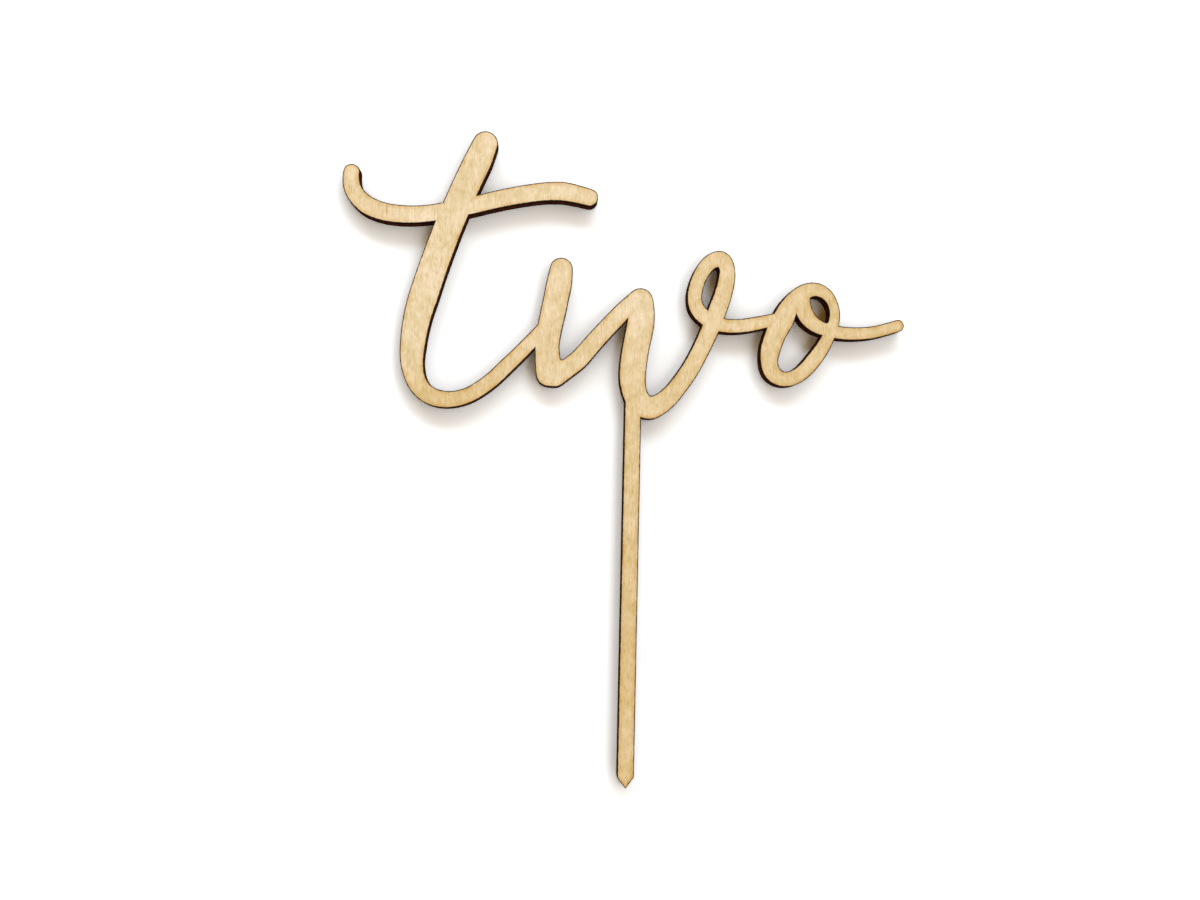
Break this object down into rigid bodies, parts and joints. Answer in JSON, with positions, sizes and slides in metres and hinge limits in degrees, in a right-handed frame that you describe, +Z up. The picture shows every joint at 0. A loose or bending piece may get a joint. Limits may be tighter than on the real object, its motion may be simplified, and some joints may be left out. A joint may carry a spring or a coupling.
{
  "type": "cake topper",
  "caption": "Flat plywood cake topper: a number word in brush script on a pointed stake, laser-cut from three-ply sheet, pushed into the top of a cake.",
  "frame": {"origin": "on the stake's axis, in the middle of the sheet, at the foot of the word, where the top of the cake comes to", "axes": "+Z up the stake to the word, +X along the word as it is read, -Y out of the face and +Y out of the back"},
  "size_m": [0.1401, 0.003, 0.1597],
  "materials": {
    "face_wood": "bare pale veneer with toasted, charred cut edges",
    "core_wood": "cross-grain core, seen only as the burnt cut edge",
    "back_wood": "bare pale veneer with charred cut edges",
    "glue": "cured wood glue, burnt dark at the cut"
  },
  "bodies": {
    "root": {"face_veneer": "face_wood", "face_glue_line": "glue", "core_veneer": "core_wood", "back_glue_line": "glue", "back_veneer": "back_wood"}
  },
  "joints": []
}
